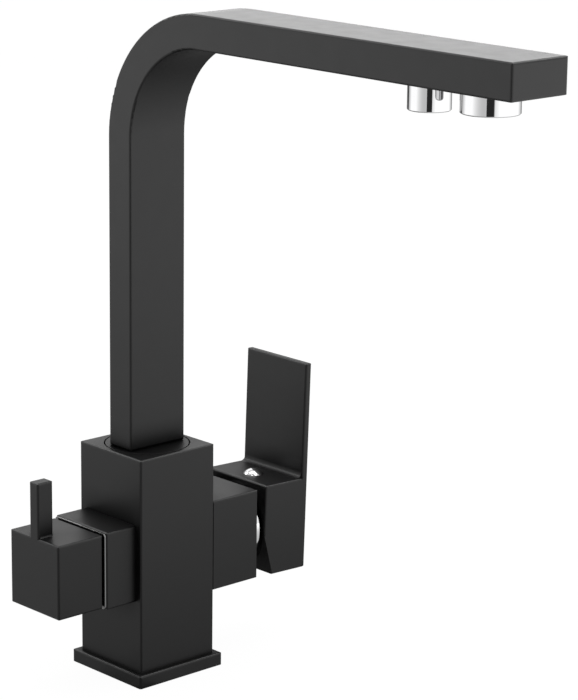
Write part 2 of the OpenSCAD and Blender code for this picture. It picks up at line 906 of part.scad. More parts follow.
// Carrier that the lever's ball pushes up and down
module disc_carrier() {
    color(polymer) difference() {
        to_mixer() {
            translate([-disc_z, 0, 0]) {
                rod(moving_disc_r, carrier_x, carrier_x + carrier_t);
                for (i = [-1, 1]) translate([0, i * lug_ring, carrier_x - lug_t / 2 + over / 2])
                    cube([lug_h, lug_w, lug_t + over], center = true);
            }
            translate([-ball_z, 0, 0])
                rod(carrier_boss_r, carrier_x, carrier_x + carrier_t + carrier_boss_l);
        }
        to_mixer() translate([-ball_z, 0, 0])
            rod(ball_r + ball_play, carrier_x + carrier_web,
                carrier_x + carrier_t + carrier_boss_l + over);
    }
}

// Sliding ceramic disc with a mixing bowl and two drive slots
module mixer_moving_disc() {
    color(alumina) to_mixer() translate([-disc_z, 0, 0]) difference() {
        rod(moving_disc_r, moving_disc_x, carrier_x);
        rod(mixing_bowl_r, moving_disc_x - over, moving_disc_x + mixing_bowl_deep);
        for (i = [-1, 1]) translate([0, i * lug_ring, carrier_x])
            cube([lug_h + 2 * set_gap, lug_w + 2 * set_gap, 2 * (lug_t + set_gap)],
                center = true);
    }
}

// Lever: ball end, neck, tongue on the pin and square shank
module lever_stem() {
    color(steel) to_lever() difference() {
        union() {
            translate([-lever_in, 0, 0]) sphere(ball_r);
            rotate([0, 90, 0]) rod(neck_r, -lever_in, -tongue_in + over);
            translate([-tongue_in, -tongue_w / 2, -tongue_w / 2])
                cube([tongue_in + tongue_out, tongue_w, tongue_w]);
            translate([tongue_out, -shank_w / 2, -shank_w / 2])
                cube([shank_end - tongue_out, shank_w, shank_w]);
        }
        rotate([90, 0, 0]) cylinder(r = pin_r + run_gap, h = tongue_w + over, center = true);
    }
}

// Extrudes an outline drawn in the lever's X and Z across the handle's width
module across_handle() {
    rotate([90, 0, 0]) linear_extrude(handle_w, center = true) children();
}

// Rounds the edges at both sides of the handle along the line from p to q,
// which runs with the solid on its left, past its ends by before and after
module side_cuts(p, q, before, after) {
    d = q - p;
    translate([p[0], 0, p[1]]) rotate([0, atan2(d[0], d[1]), 0])
        translate([0, 0, -before]) linear_extrude(norm(d) + before + after) {
            translate([0, handle_w / 2]) corner_cut(edge_r);
            translate([0, -handle_w / 2]) rotate([0, 0, 90]) corner_fillet(edge_r);
        }
}

// Rounds an edge that runs across the handle at p, turned by angle
module across_cut(p, angle, r) {
    rotate([90, 0, 0]) linear_extrude(handle_w + 2 * over, center = true)
        translate(p) rotate([0, 0, angle]) corner_cut(r);
}

// Handle: hollowed block with a tall plate on its outer face
module mixer_handle() {
    out = handle_in + handle_d;
    plate_in = out - plate_t;
    pocket_r = cover_r + pocket_clear;
    socket = shank_w + 2 * set_gap;
    heel = [out, -handle_drop];
    toe = [handle_in + relief_deep, -handle_drop];
    knee = [handle_in, -relief_down];
    brow = [handle_in, handle_rise];
    nook = [plate_in, handle_rise];
    top_in = [plate_in, plate_top];
    top_out = [out, plate_top];
    color(matt_black) to_lever() difference() {
        union() {
            across_handle() polygon([brow, nook, top_in, top_out, heel, toe, knee]);
            rotate([90, 0, 0])
                linear_extrude(handle_w - 2 * edge_r, center = true)
                    translate(nook) rotate([0, 0, 90]) corner_fillet(plate_fillet);
        }
        side_cuts(heel, top_out, over, over);
        side_cuts(top_out, top_in, over, over);
        side_cuts(top_in, nook, over, 0);
        side_cuts(nook, brow, 0, over);
        side_cuts(brow, knee, over, 0);
        side_cuts(toe, heel, over, over);
        across_cut(top_out, 0, edge_r);
        across_cut(top_in, 90, edge_r);
        across_cut(brow, 90, edge_r);
        across_cut(heel, -90, heel_r);
        // Pocket that swings over the bright cover
        rotate([0, 90, 0]) rod(pocket_r, handle_in - over, pocket_floor);
        // Socket of the lever's shank
        translate([0, -socket / 2, -socket / 2]) cube([shank_end + set_gap, socket, socket]);
        // Screw hole and seat of its cap
        translate([handle_screw_x, 0, 0]) {
            rod(handle_screw_r + set_gap, 0, handle_rise + over);
            rod(cap_plug_r + set_gap, handle_rise - cap_plug_l - set_gap, handle_rise + over);
        }
    }
}

module handle_screw() {
    foot = shank_w / 2;
    color(steel) to_lever() translate([handle_screw_x, 0, 0]) difference() {
        rod(handle_screw_r, foot, foot + handle_screw_l);
        translate([0, 0, foot + handle_screw_l - handle_screw_r])
            cylinder(r = handle_screw_r / 2, h = handle_screw_r + over, $fn = 6);
    }
}

// Plain domed cap that hides the screw
module handle_cap() {
    dome_r = (cap_r * cap_r + cap_h * cap_h) / (2 * cap_h);
    color(bright) to_lever() translate([handle_screw_x, 0, handle_rise]) {
        intersection() {
            rod(cap_r, 0, cap_h + over);
            translate([0, 0, cap_h - dome_r]) sphere(dome_r);
        }
        rod(cap_plug_r, -cap_plug_l, over / 2);
    }
}

// Hollow spout: one rectangular tube from the collar to its closed tip
module spout_tube() {
    color(matt_black) difference() {
        spout_sweep(spout_w, spout_t, edge_r, body_top, spout_reach);
        spout_sweep(spout_w - 2 * spout_wall, spout_t - 2 * spout_wall,
            tube_inner_r, body_top - over, spout_reach - tip_wall);
        // Round edges of the tip and of the foot
        translate([0, -spout_reach, leg_z]) rotate([90, 0, 0])
            end_cuts(spout_w, spout_t, edge_r);
        translate([0, 0, body_top]) rotate([180, 0, 0])
            end_cuts(spout_w, spout_t, edge_r);
        translate([0, -mixed_reach, 0])
            rod(mixed_thread_r + set_gap, under_z - over, leg_z);
        translate([0, -pure_reach, 0])
            rod(pure_thread_r + set_gap, under_z - over, leg_z);
    }
}

// Collar flush with the column's top, with a tenon inside the spout's foot
module spout_collar() {
    tenon_x = spout_w - 2 * spout_wall - 2 * set_gap;
    tenon_y = spout_t - 2 * spout_wall - 2 * set_gap;
    color(matt_black) difference() {
        union() {
            rod(collar_r, collar_z, body_top);
            stick(tenon_x, tenon_y, tube_inner_r, body_top - over, body_top + tenon_h);
        }
        stick(tenon_x - 2 * tenon_wall, tenon_y - 2 * tenon_wall, tube_inner_r,
            body_top, body_top + tenon_h + over);
        rod(head_r + set_gap, collar_z - over, body_top);
        rod(head_bore_r - set_gap, collar_z, body_top + over);
    }
}

// Stem: sealed drum with a mixed water chamber and a filtered water nose
module spout_stem() {
    color(brass) difference() {
        union() {
            rod(stem_r, shoulder_z, collar_z);
            rod(head_r, collar_z - over, body_top);
            rod(nose_r, stem_z - nose_l + stem_chamber, shoulder_z + over);
        }
        rod(core_r, shoulder_z + core_floor, collar_z - core_roof);
        rod(head_bore_r, collar_z - core_roof - over, body_top + over);
        rod(nose_bore_r, stem_z - nose_l, shoulder_z + core_floor + over);
        rod(filter_tube_r + set_gap, stem_z, shoulder_z + core_floor + over);
        for (i = [0 : 3]) rotate([0, 0, i * 90]) translate([feed_hole_ring, 0, 0])
            rod(feed_hole_r, shoulder_z - over, shoulder_z + core_floor + over);
        for (up = [seal_low_up, seal_high_up])
            tube(stem_r + over, stem_r - 2 * seal_r,
                shoulder_z + up - seal_r - set_gap, shoulder_z + up + seal_r + set_gap);
        tube(stem_r + over, stem_r - lock_groove_deep,
            shoulder_z + lock_groove_up - lock_groove_w / 2,
            shoulder_z + lock_groove_up + lock_groove_w / 2);
        tube(nose_r + over, nose_r - 2 * nose_seal_r,
            stem_z - nose_l / 2 - nose_seal_r - set_gap,
            stem_z - nose_l / 2 + nose_seal_r + set_gap);
    }
}

module stem_seals() {
    color(rubber) {
        for (up = [seal_low_up, seal_high_up])
            o_ring(stem_r - seal_r, seal_r - run_gap, shoulder_z + up);
        o_ring(nose_r - nose_seal_r, nose_seal_r - run_gap, stem_z - nose_l / 2);
    }
}

// Inner tube that keeps the filtered water apart, from nose to outlet boss
module filter_tube() {
    tip = pure_reach - pure_boss_r + tube_socket_l;
    color(polymer) difference() {
        tube_sweep(filter_tube_r, stem_z, tip);
        tube_sweep(filter_tube_bore, stem_z - over, tip + over);
    }
}

// Threaded ring fixed inside the spout over the mixed water outlet
module mixed_outlet_boss() {
    floor_z = under_z + spout_wall;
    color(brass) translate([0, -mixed_reach, 0])
        tube(mixed_thread_r + boss_wall, mixed_thread_r + set_gap,
            floor_z, floor_z + mixed_boss_h);
}

// Block inside the spout that turns the filtered water down to its outlet
module filter_outlet_boss() {
    floor_z = under_z + spout_wall;
    roof_z = spout_top - spout_wall;
    thread_top = under_z + pure_thread_l + set_gap;
    color(brass) translate([0, -pure_reach, 0]) difference() {
        rod(pure_boss_r, floor_z, roof_z);
        rod(pure_thread_r + set_gap, floor_z - over, thread_top);
        rod(passage_r, thread_top - over, leg_z + passage_r);
        translate([0, 0, leg_z]) rotate([-90, 0, 0]) {
            rod(filter_tube_r + set_gap, pure_boss_r - tube_socket_l, pure_boss_r + over);
            rod(filter_tube_bore, 0, pure_boss_r);
        }
    }
}

// Outlet sleeve under the spout: outer drum, thread and stepped bore
module outlet_sleeve(r, drop, thread_r, thread_l, bore, neck, neck_l) {
    top = under_z + thread_l;
    difference() {
        union() {
            rod(r, under_z - drop, under_z);
            rod(thread_r, under_z - over, top);
        }
        rod(bore, under_z - drop - over, top - neck_l);
        rod(neck, top - neck_l - over, top + over);
    }
}

module aerator_housing() {
    color(bright) translate([0, -mixed_reach, 0])
        outlet_sleeve(mixed_r, mixed_drop, mixed_thread_r, mixed_thread_l,
            mixed_bore, mixed_neck_r, mixed_neck_l);
}

// Plate of six-sided cells inside a round rim
module aerator_insert() {
    r = mixed_bore - set_gap;
    low = under_z - mixed_drop + insert_inset;
    high = under_z + mixed_thread_l - mixed_neck_l - outlet_washer_t;
    color(polymer) translate([0, -mixed_reach, 0]) difference() {
        rod(r, low, high);
        rod(r - insert_rim, low + cell_plate_t, high + over);
        for (i = [-cell_rows : cell_rows], j = [-cell_rows : cell_rows])
            if (abs(i + j) <= cell_rows)
                translate([cell_pitch * (i + j / 2), cell_pitch * j * sin(60), low - over])
                    rotate([0, 0, 30]) cylinder(r = cell_r, h = cell_plate_t + 2 * over, $fn = 6);
    }
}

module aerator_washer() {
    top = under_z + mixed_thread_l - mixed_neck_l;
    color(rubber) translate([0, -mixed_reach, 0])
        tube(mixed_bore - set_gap, mixed_neck_r, top - outlet_washer_t, top);
}

module filter_nozzle() {
    color(bright) translate([0, -pure_reach, 0])
        outlet_sleeve(pure_r, pure_drop, pure_thread_r, pure_thread_l,
            pure_bore, pure_neck_r, pure_neck_l);
}

// Flow straightener with a ring of round holes
module filter_nozzle_insert() {
    r = pure_bore - set_gap;
    low = under_z - pure_drop + insert_inset;
    high = under_z + pure_thread_l - pure_neck_l - outlet_washer_t;
    color(polymer) translate([0, -pure_reach, 0]) difference() {
        rod(r, low, high);
        rod(pure_cell_r, low - over, high + over);
        for (i = [0 : pure_cell_count - 1]) rotate([0, 0, i * 360 / pure_cell_count])
            translate([pure_cell_ring, 0, 0]) rod(pure_cell_r, low - over, high + over);
    }
}

module filter_nozzle_washer() {
    top = under_z + pure_thread_l - pure_neck_l;
    color(rubber) translate([0, -pure_reach, 0])
        tube(pure_bore - set_gap, pure_neck_r, top - outlet_washer_t, top);
}

body_column();
base_flange();
base_seal();
spout_bush();
spout_lock_screw();
filter_arm();
filter_arm_gasket();
filter_valve_body();
filter_seat_seal();
filter_fixed_disc();
knob_shim();
mixer_arm();
mixer_arm_gasket();
cartridge_base();
cartridge_base_seals();
mixer_fixed_disc();
cartridge_housing();
cartridge_nut();
dome_cover();
spout_tube();
spout_collar();
spout_stem();
stem_seals();
filter_tube();
mixed_outlet_boss();
filter_outlet_boss();
aerator_housing();
aerator_insert();
aerator_washer();
filter_nozzle();
filter_nozzle_insert();
filter_nozzle_washer();
filter_knob();
filter_spindle();
filter_moving_disc();
spindle_seals();
spindle_clip();
knob_screw();
cartridge_rotor();
lever_pin();
disc_carrier();
mixer_moving_disc();
lever_stem();
mixer_handle();
handle_screw();
handle_cap();
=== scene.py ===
import json
import math

import bmesh
import bpy
from mathutils import Matrix, Vector


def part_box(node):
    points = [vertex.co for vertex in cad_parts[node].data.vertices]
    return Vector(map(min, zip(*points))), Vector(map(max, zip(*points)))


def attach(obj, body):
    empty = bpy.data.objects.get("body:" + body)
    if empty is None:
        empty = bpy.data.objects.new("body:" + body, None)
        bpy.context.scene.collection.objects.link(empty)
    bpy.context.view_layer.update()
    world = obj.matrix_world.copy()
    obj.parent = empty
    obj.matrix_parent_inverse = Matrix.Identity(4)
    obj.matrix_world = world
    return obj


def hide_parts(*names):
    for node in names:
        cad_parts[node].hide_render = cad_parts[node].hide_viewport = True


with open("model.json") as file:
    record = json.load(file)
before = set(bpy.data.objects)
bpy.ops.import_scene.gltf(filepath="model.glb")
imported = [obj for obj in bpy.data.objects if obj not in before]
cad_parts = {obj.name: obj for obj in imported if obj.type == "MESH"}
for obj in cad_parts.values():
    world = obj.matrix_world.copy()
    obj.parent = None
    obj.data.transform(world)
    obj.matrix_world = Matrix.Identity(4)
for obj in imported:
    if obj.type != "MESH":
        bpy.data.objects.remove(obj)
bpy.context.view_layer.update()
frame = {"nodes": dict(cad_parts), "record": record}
scene = bpy.context.scene
nodes = frame["nodes"]
MM = 0.001


# Camera, solved from the photograph's edges

CAMERA_PLACE = (-809.103, -968.965, 479.33)
CAMERA_AZIMUTH, CAMERA_ELEVATION, CAMERA_ROLL = -0.74961, 0.24832, 0.012098
CAMERA_LENS = 139.74


def add_camera():
    az, el, roll = CAMERA_AZIMUTH, CAMERA_ELEVATION, CAMERA_ROLL
    look = Vector((-math.sin(az) * math.cos(el), math.cos(az) * math.cos(el), -math.sin(el)))
    right = Vector((math.cos(az), math.sin(az), 0))
    up = right.cross(look)
    x = math.cos(roll) * right + math.sin(roll) * up
    y = -math.sin(roll) * right + math.cos(roll) * up
    data = bpy.data.cameras.new("camera")
    data.sensor_fit = "AUTO"
    data.sensor_width = 36
    data.lens = CAMERA_LENS
    data.clip_start = 0.05
    data.clip_end = 50
    cam = bpy.data.objects.new("camera", data)
    m = Matrix((x, y, -look)).transposed().to_4x4()
    m.translation = Vector(CAMERA_PLACE) * MM
    cam.matrix_world = m
    scene.collection.objects.link(cam)
    scene.camera = cam


add_camera()


# Node helpers

class Tree:
    """Short calls that add and link nodes in one node tree."""

    def __init__(self, owner):
        owner.use_nodes = True
        self.t = owner.node_tree
        self.t.nodes.clear()

    def add(self, kind, settings=None, **inputs):
        n = self.t.nodes.new(kind)
        for k, v in (settings or {}).items():
            setattr(n, k, v)
        for k, v in inputs.items():
            self.put(n, k.replace("_", " "), v)
        return n

    def put(self, n, key, v):
        """Links or sets an input, which key gives by name or by number."""
        socket = n.inputs[int(key)] if key.isdigit() else n.inputs[key]
        if isinstance(v, bpy.types.NodeSocket):
            self.t.links.new(v, socket)
        else:
            socket.default_value = v

    def surface(self, shader, kind="ShaderNodeOutputMaterial"):
        """Links a shader to the tree's output."""
        self.put(self.add(kind), "Surface", shader.outputs[0])

    def coords(self):
        return self.add("ShaderNodeTexCoord").outputs["Object"]

    def noise(self, scale, detail=3.0, stretch=None):
        v = self.coords()
        if stretch:
            v = self.add("ShaderNodeMapping", None, Vector=v, Scale=stretch).outputs[0]
        return self.add("ShaderNodeTexNoise", None, Vector=v, Scale=scale, Detail=detail,
                        Roughness=0.55).outputs[0]

    def ramp(self, fac, low, high, a=0.0, b=1.0):
        """Maps fac from low..high to a..b, held at both ends."""
        n = self.add("ShaderNodeMapRange", {"clamp": True}, Value=fac)
        for key, v in (("From Min", low), ("From Max", high), ("To Min", a), ("To Max", b)):
            self.put(n, key, v)
        return n.outputs[0]

    def spread(self, noise, a=0.0, b=1.0):
        """Maps the range where most of a noise lies to a..b."""
        return self.ramp(noise, 0.3, 0.7, a, b)

    def mix(self, fac, a, b):
        n = self.add("ShaderNodeMix", {"data_type": "RGBA"})
        for key, v in (("0", fac), ("6", a), ("7", b)):
            self.put(n, key, v)
        return n.outputs[2]

    def math(self, op, a, b=0.0):
        n = self.add("ShaderNodeMath", {"operation": op})
        self.put(n, "0", a)
        self.put(n, "1", b)
        return n.outputs[0]

    def vector(self, op, a, b=None):
        n = self.add("ShaderNodeVectorMath", {"operation": op}, Vector=a)
        if b is not None:
            self.put(n, "1", b)
        return n

    def bump(self, height, distance, strength):
        return self.add("ShaderNodeBump", None, Height=height, Distance=distance,
                        Strength=strength).outputs[0]

    def clear_of_painted_shade(self, reach):
        """1 on open faces and less in inner corners, where it paints shade into the coat's sheen.
        Upright faces near the floor stay open.
        """
        place = self.add("ShaderNodeNewGeometry").outputs
        height, upward = (self.add("ShaderNodeSeparateXYZ", None, Vector=place[key]).outputs["Z"]
                          for key in ("Position", "Normal"))
        counts = self.math("MAXIMUM", self.ramp(height, 0.01, 0.06), self.ramp(upward, 0.3, 0.8))
        air = self.add("ShaderNodeAmbientOcclusion", {"samples": 8}, Distance=reach).outputs["AO"]
        painted_shade = self.math("MULTIPLY", counts, self.math("SUBTRACT", 1.0, air))
        return self.math("SUBTRACT", 1.0, painted_shade)


def material(name, build):
    m = bpy.data.materials.new(name)
    t = Tree(m)
    shader = t.add("ShaderNodeBsdfPrincipled")
    build(t, shader)
    t.surface(shader)
    return m


def grey(v, tint=0.0):
    return (v, v, v + tint, 1.0)


# Materials. Each takes its colour, roughness and relief from noises

def black_coat(t, s):
    """Satin black coat: fine orange peel, faint clouding, and painted shade in inner corners, where
    its sheen drops.
    """
    t.put(s, "Base Color", t.mix(t.spread(t.noise(26)), grey(0.002, 0.0001), grey(0.003, 0.0001)))
    t.put(s, "Roughness", t.spread(t.noise(110), 0.365, 0.395))
    t.put(s, "Normal", t.bump(t.noise(1900, 2.0), 0.02 * MM, 0.4))
    # Painted shade: the coat's sheen drops in inner corners and near other parts
    t.put(s, "Specular IOR Level", t.ramp(t.clear_of_painted_shade(14 * MM), 0.45, 1.0, 0.1, 0.5))
    t.put(s, "IOR", 1.46)


def chrome(t, s, tone=0.62):
    """Polished plating: very faint haze and a slow wave in the surface."""
    tones = (grey(v, 0.004) for v in (tone, tone + 0.04))
    t.put(s, "Base Color", t.mix(t.spread(t.noise(30, 2.0)), *tones))
    t.put(s, "Metallic", 1.0)
    t.put(s, "Roughness", t.ramp(t.noise(140, 4.0), 0.35, 0.75, 0.03, 0.06))
    t.put(s, "Normal", t.bump(t.noise(90, 1.0), 0.02 * MM, 0.3))


# Painted highlight: the same chrome made lighter for the dome cover
def painted_highlight_chrome(t, s):
    chrome(t, s, 0.92)


def ground_metal(t, s, grain, fac, tones, rough):
    """Metal whose fine grain gives its roughness and its relief."""
    t.put(s, "Base Color", t.mix(t.spread(fac), *tones))
    t.put(s, "Metallic", 1.0)
    t.put(s, "Roughness", t.spread(grain, *rough))
    t.put(s, "Normal", t.bump(grain, 0.01 * MM, 0.4))


def bright_plate(t, s):
    """Bright plate with a fine sanded grain along Z."""
    grain = t.noise(900, 2.0, stretch=(1, 1, 0.03))
    ground_metal(t, s, grain, grain, (grey(0.20), grey(0.28)), (0.18, 0.28))


def turned_steel(t, s):
    grain = t.noise(2600, 2.0)
    ground_metal(t, s, grain, grain, (grey(0.42), grey(0.56)), (0.25, 0.40))


def turned_brass(t, s):
    ground_metal(t, s, t.noise(2200, 2.0), t.noise(40),
                 ((0.60, 0.43, 0.17, 1), (0.70, 0.53, 0.24, 1)), (0.24, 0.38))


def black_rubber(t, s):
    """Rubber with a faint dust in its colour and its sheen."""
    dust = t.noise(300, 4.0)
    t.put(s, "Base Color", t.mix(t.ramp(dust, 0.35, 0.75), grey(0.014), grey(0.026)))
    t.put(s, "Roughness", t.spread(dust, 0.62, 0.80))
    t.put(s, "Normal", t.bump(t.noise(2400, 2.0), 0.03 * MM, 0.5))


def white_ceramic(t, s):
    cloud = t.noise(120)
    t.put(s, "Base Color", t.mix(t.spread(cloud), (0.80, 0.78, 0.73, 1), (0.86, 0.84, 0.79, 1)))
    t.put(s, "Roughness", t.spread(cloud, 0.20, 0.34))
    t.put(s, "Normal", t.bump(t.noise(3000, 2.0), 0.01 * MM, 0.3))


def pale_polymer(t, s):
    cloud = t.noise(90)
    t.put(s, "Base Color", t.mix(t.spread(cloud), (0.66, 0.67, 0.66, 1), (0.74, 0.75, 0.74, 1)))
    t.put(s, "Roughness", t.spread(cloud, 0.34, 0.48))
    t.put(s, "Normal", t.bump(t.noise(1500, 2.0), 0.02 * MM, 0.4))


# By material slot. The cover's look in the chrome slot is a lighter copy of chrome, a painted
# highlight
MATERIALS = {
    "matt_black": material("matt_black_coat", black_coat),
    "chrome": material("polished_chrome", chrome),
    "cover_painted_highlight": material("painted_highlight_chrome", painted_highlight_chrome),
    "shim": material("bright_plate", bright_plate),
    "rubber": material("black_rubber", black_rubber),
    "brass": material("turned_brass", turned_brass),
    "steel": material("turned_steel", turned_steel),
    "ceramic": material("white_ceramic", white_ceramic),
    "polymer": material("pale_polymer", pale_polymer),
}


# Carried-over nodes: their materials, and the small edges that the solids leave sharp

def bevel(obj, width):
    mod = obj.modifiers.new("bevel", "BEVEL")
    mod.limit_method = "ANGLE"
    mod.angle_limit = math.radians(32)
    mod.width = width
    mod.segments = 3
    mod.profile = 0.5
    mod.harden_normals = True
    mod.miter_outer = "MITER_ARC"


def soften(obj, width):
    """Rounds the sharp edges of a node with modifiers, so that they catch the light."""
    weld = obj.modifiers.new("weld", "WELD")
    weld.merge_threshold = 1e-6
    flat = obj.modifiers.new("flat", "DECIMATE")
    flat.decimate_type = "DISSOLVE"
    flat.angle_limit = math.radians(0.5)
    bevel(obj, width)


SLOT = {s["node"]: s["material_slot"] for s in frame["record"]["subparts"]}
# Width of the rounded edges in mm
EDGES = {"spout_collar": 0.3, "knob_shim": 0.1}

for name, obj in nodes.items():
    obj.data.materials.clear()
    obj.data.materials.append(MATERIALS[SLOT[name]])
    if name in EDGES:
        soften(obj, EDGES[name] * MM)


# Helpers for the pieces that are made here, with lengths in mm

LATHE_STEPS = 192


def built(bm, name):
    """Turns a finished bmesh into an object in the scene."""
    bmesh.ops.recalc_face_normals(bm, faces=bm.faces)
    mesh = bpy.data.meshes.new(name)
    bm.to_mesh(mesh)
    bm.free()
    obj = bpy.data.objects.new(name, mesh)
    scene.collection.objects.link(obj)
    return obj


def lathe(name, outline, place, edge, turn=(0, 0, 0)):
    """Turns a closed outline of (radius, height) pairs about local Z and rounds its edges.
    A point with radius 0 closes the form on its axis."""
    bm = bmesh.new()
    angles = [2 * math.pi * i / LATHE_STEPS for i in range(LATHE_STEPS)]
    rings = []
    for r, z in outline:
        spots = [(r * MM * math.cos(a), r * MM * math.sin(a)) for a in angles] if r else [(0, 0)]
        rings.append([bm.verts.new((x, y, z * MM)) for x, y in spots])
    for low, high in zip(rings, rings[1:] + rings[:1]):
        if len(low) == len(high) == 1:
            continue
        for i in range(LATHE_STEPS):
            corners = ((low, i), (low, i + 1), (high, i + 1), (high, i))
            verts = dict.fromkeys(ring[k % len(ring)] for ring, k in corners)
            bm.faces.new(list(verts)).smooth = True
    obj = built(bm, name)
    obj.location = Vector(place) * MM
    obj.rotation_euler = turn
    bevel(obj, edge * MM)
    return obj


def dress(obj, body, slot, *replaced, look=None):
    """Gives a piece its look, slot and body, and the nodes that it replaces."""
    obj.data.materials.append(MATERIALS[look or slot])
    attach(obj, body)
    if replaced:
        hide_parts(*replaced)


def measure(node):
    """Middle, size and lowest height of a node's box."""
    low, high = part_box(node)
    middle = [(a + b) / 2 / MM for a, b in zip(low, high)]
    size = [(b - a) / MM for a, b in zip(low, high)]
    return middle, size, low[2] / MM


def arc(z, r, start, end, steps):
    """(radius, height) pairs on a circle about (0, z), between two angles."""
    angles = (start + (end - start) * i / steps for i in range(steps + 1))
    return [(r * math.cos(a), z + r * math.sin(a)) for a in angles]


# Turned pieces, finer than the solids that they stand for

def add_outlet(node, shoulder, wall, thread_l, neck_wall, neck_l):
    """Chrome drum with its thread, bore and neck, as the solid has them."""
    edge, relief, pitch, depth, lead_in = 0.4, 0.6, 1.0, 0.45, 0.3
    (x, y, _), (width, _, height), z = measure(node)
    r = width / 2
    drop = height - thread_l
    thread_r = r - shoulder
    neck_r = thread_r - neck_wall
    neck_z = height - neck_l
    outline = [(r - wall, 0), (r - edge, 0), (r, edge), (r, drop), (thread_r, drop)]
    root = drop + relief
    while root + pitch < height:
        outline += [(thread_r - depth, root), (thread_r, root + pitch / 2)]
        root += pitch
    outline += [(thread_r - lead_in, height), (neck_r, height), (neck_r, neck_z), (r - wall, neck_z)]
    obj = lathe(node + "_turned", outline, (x, y, z), edge=0.12)
    dress(obj, "spout", "chrome", node)


def add_cover():
    """Skirt and shallow dome, with the hole that the lever comes through."""
    skirt, hole, wall, edge = 7.7, 10.4, 1.5, 0.2
    shell_r, shell_z = 1.3, 1.2
    low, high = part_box("dome_cover")
    x0, x1 = low[0] / MM, high[0] / MM
    z = (low[2] + high[2]) / 2 / MM
    r = (high[2] - low[2]) / 2 / MM
    dome = x1 - x0 - skirt
    # The sphere through the skirt's rim and the hole's rim, its centre below the skirt's rim
    below = (r * r - hole * hole - dome * dome) / (2 * dome)
    sphere = math.hypot(r, below)
    outer = arc(skirt - below, sphere, math.asin(below / sphere), math.acos(hole / sphere), 20)
    inner = [(max(hole, q - shell_r), h - shell_z) for q, h in outer[::-1]]
    outline = [(r - wall, 0), (r - edge, 0), (r, edge)] + outer + inner
    obj = lathe("dome_cover_turned", outline, (x0, 0, z), edge=0.15, turn=(0, math.pi / 2, 0))
    # The cover takes the lighter chrome, a painted highlight
    dress(obj, "column", "chrome", "dome_cover", look="cover_painted_highlight")


def add_cap():
    """Plain dome of the handle's cap with its plug."""
    plug_r, dome_h = 2.6, 2.6
    (x, y, _), (width, _, height), z = measure("handle_cap")
    r = width / 2
    sphere = (r * r + dome_h * dome_h) / (2 * dome_h)
    dome = arc(height - sphere, sphere, math.acos(r / sphere), math.pi / 2, 24)
    outline = [(0, 0), (plug_r, 0), (plug_r, height - dome_h)] + dome[:-1] + [(0, height)]
    obj = lathe("handle_cap_turned", outline, (x, y, z), edge=0.1)
    dress(obj, "lever", "chrome", "handle_cap")


add_outlet("aerator_housing", shoulder=2.25, wall=3.15, thread_l=6.4, neck_wall=3.0, neck_l=4.5)
add_outlet("filter_nozzle", shoulder=2.9, wall=2.0, thread_l=5.0, neck_wall=2.0, neck_l=9.6)
add_cover()
add_cap()


# Threads of the ports under the column

STUD_PITCH, HOSE_PITCH, STUD_MAX_R = 1.25, 1.0, 4


def add_thread(name, x, y, r, length, pitch):
    """A helical ridge that lines a tapped hole. It fades out over the first and last turn."""
    start, end, steps = 0.7, 0.5, 48
    sunk, depth, least = 0.02, 0.32, 0.01
    foot, crest = 0.46 * pitch, 0.06 * pitch
    count = int((length - start - end) / pitch) * steps
    bm = bmesh.new()
    rows = []
    for i in range(count + 1):
        a = 2 * math.pi * i / steps
        z = start + pitch * i / steps
        tip = r - depth * min(1, i / steps, (count - i) / steps) - least
        section = ((r + sunk, z - foot), (tip, z - crest), (tip, z + crest), (r + sunk, z + foot))
        rows.append([bm.verts.new(((x + q * math.cos(a)) * MM, (y + q * math.sin(a)) * MM, h * MM))
                     for q, h in section])
    for p, q in zip(rows, rows[1:]):
        for k in range(4):
            bm.faces.new((p[k], q[k], q[(k + 1) % 4], p[(k + 1) % 4]))
    bm.faces.new(rows[0])
    bm.faces.new(rows[-1][::-1])
    dress(built(bm, name), "column", "matt_black")


for mount in frame["record"]["mounts"]:
    if mount["kind"] == "threaded_hole":
        x, y = (v / MM for v in mount["pos_m"][:2])
        r, length = mount["dims"]["r_mm"], mount["dims"]["length_mm"]
        add_thread(mount["name"] + "_thread", x, y, r, length,
                   HOSE_PITCH if r > STUD_MAX_R else STUD_PITCH)


# Studio: pale floor, white world, soft lamps, and cards that only reflections see

FLOOR_SIZE, FLOOR_DROP, FLOOR_ALBEDO = 12, 0.0002, 0.85
# Glow to the camera, and the glow's share for the camera and in reflections
FLOOR_WHITE, FLOOR_SEEN, FLOOR_GLOSSY = 1.03, 0.93, 0.8
# Glow in reflections: (distance from the centre in m, level) near and far
FLOOR_CENTRE = (-0.12, 0.12, 0)
FLOOR_NEAR, FLOOR_FAR = (0.1, 0.50), (1.5, 1.82)
# Dark patch, which the underside of the bend mirrors: (point, inner and outer radius, level)
PATCH = ((0.33, 0.22, 0), 0.18, 0.50, 0.05)
# Dark sectors, which give the edges their fine lines: (azimuth, inner and outer half angle, level)
SECTORS = ((-41, 11, 14, 0.1), (-62, 3, 50, 0.45), (140, 32, 72, 0.1))

# The world's light, and what reflections see on top of it
WORLD_LIGHT, WORLD_GLOSSY = 0.45, 0.45

# (name, place, height of the aim on the Z axis, size, watts)
LAMPS = (
    ("lamp_top", (-0.1, -0.2, 1.9), 0.10, (1.8, 1.8), 14),
    ("lamp_left", (-1.7, 0.1, 1.1), 0.15, (0.9, 1.4), 2.5),
    ("lamp_right", (0.6, -1.9, 1.1), 0.15, (0.9, 1.4), 5),
    ("lamp_back", (1.05, 1.15, 1.05), 0.35, (2.2, 1.5), 7),
    ("lamp_low", (2.05, 2.2, 0.62), 0.40, (3.4, 0.5), 11),
    # Small lamps that only the rounded top edges mirror
    ("lamp_edge_left", (-0.38, 1.17, 1.13), 0.10, (0.5, 0.5), 3),
    ("lamp_edge_right", (1.07, -0.37, 1.23), 0.10, (0.5, 0.5), 3),
)

CARD_DISTANCE = 0.80
